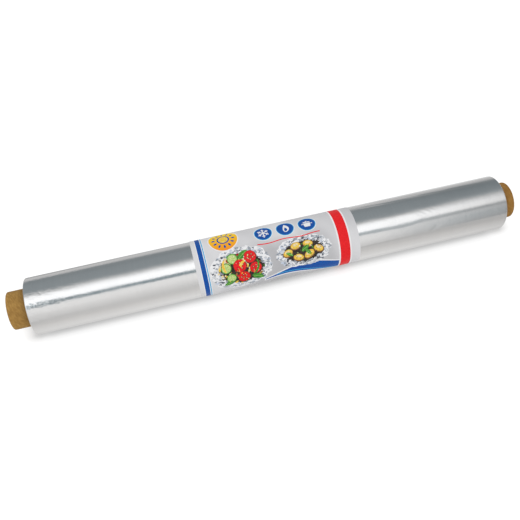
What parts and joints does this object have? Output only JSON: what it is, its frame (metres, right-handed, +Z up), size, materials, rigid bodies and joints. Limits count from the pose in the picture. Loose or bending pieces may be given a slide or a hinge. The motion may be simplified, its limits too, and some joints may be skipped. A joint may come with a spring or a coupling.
{
  "type": "aluminium foil roll",
  "caption": "Household aluminium foil wound on an open cardboard tube that stands out at both ends, with a printed paper band round its middle, lying on its side.",
  "frame": {"origin": "on the surface that the roll lies on, under the middle of the tube", "axes": "+X along the roll towards the end where less of the tube stands out, +Z up, +Y towards the back, where the band's overlap is"},
  "size_m": [0.4162, 0.0458, 0.0457],
  "materials": {
    "core": "matt brown kraft board",
    "foil": "bright rolled foil",
    "label": "satin printed paper"
  },
  "bodies": {
    "root": {"core": "core", "foil_winding": "foil", "label_band": "label"}
  },
  "joints": []
}
